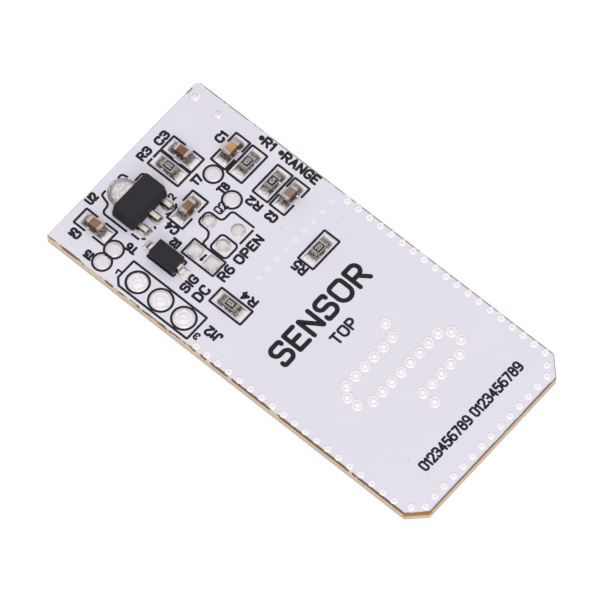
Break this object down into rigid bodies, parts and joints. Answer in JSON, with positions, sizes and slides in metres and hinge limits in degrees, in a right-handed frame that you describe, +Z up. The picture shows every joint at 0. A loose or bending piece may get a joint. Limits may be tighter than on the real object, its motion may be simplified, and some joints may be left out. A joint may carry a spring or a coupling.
{
  "type": "microwave radar sensor module",
  "caption": "Long white circuit board with a fence of plated holes, a winding line of soldered studs at one end and a regulator, a diode and chip parts at the other.",
  "frame": {"origin": "centre of the board's outline in plan, at the height of the module's lowest point, which is the face of the controller chip under the board", "axes": "+X along the board from the chip end to the aerial end, +Y across it from the edge with the header holes to the far edge, +Z up out of the side that carries the regulator"},
  "size_m": [0.0406, 0.019, 0.0044],
  "materials": {
    "white_mask": "satin white solder mask over fibreglass laminate",
    "tinned_copper": "bright tin over copper",
    "solder": "bright solder",
    "chip_ends": "matt tin",
    "tan_ceramic": "fired ceramic, satin",
    "brown_ceramic": "fired ceramic, satin",
    "alumina": "fired alumina, matt",
    "dark_glaze": "dark glaze",
    "moulded_epoxy": "moulded epoxy, matt",
    "tinned_leads": "tinned copper alloy"
  },
  "bodies": {
    "root": {"aerial_studs": "tinned_copper", "capacitor_1_ceramic": "tan_ceramic", "capacitor_1_ends": "chip_ends", "capacitor_2_ceramic": "brown_ceramic", "capacitor_2_ends": "chip_ends", "capacitor_3_ceramic": "tan_ceramic", "capacitor_3_ends": "chip_ends", "capacitor_4_ceramic": "brown_ceramic", "capacitor_4_ends": "chip_ends", "capacitor_5_ceramic": "brown_ceramic", "capacitor_5_ends": "chip_ends", "capacitor_solder": "solder", "circuit_board": "white_mask", "controller_body": "moulded_epoxy", "controller_leads": "tinned_leads", "controller_solder": "solder", "diode_body": "moulded_epoxy", "diode_leads": "tinned_leads", "diode_solder": "solder", "divider_bumps": "white_mask", "fence_rings": "tinned_copper", "header_plated_holes": "tinned_copper", "regulator_body": "moulded_epoxy", "regulator_leads": "tinned_leads", "regulator_paddle": "tinned_leads", "regulator_solder": "solder", "resistor_1_ends": "chip_ends", "resistor_1_slab": "alumina", "resistor_2_ends": "chip_ends", "resistor_2_slab": "alumina", "resistor_3_ends": "chip_ends", "resistor_3_slab": "alumina", "resistor_4_ends": "chip_ends", "resistor_4_slab": "alumina", "resistor_5_ends": "chip_ends", "resistor_5_slab": "alumina", "resistor_covers": "dark_glaze", "resistor_solder": "solder", "sensor_plated_holes": "tinned_copper", "spare_resistor_lands": "solder", "spare_transistor_lands": "solder", "test_pads": "tinned_copper", "transistor_body": "moulded_epoxy", "transistor_leads": "tinned_leads", "transistor_solder": "solder", "under_capacitor_ceramics": "brown_ceramic", "under_capacitor_ends": "chip_ends", "under_capacitor_solder": "solder", "under_resistor_covers": "dark_glaze", "under_resistor_ends": "chip_ends", "under_resistor_slabs": "alumina", "under_resistor_solder": "solder"}
  },
  "joints": []
}
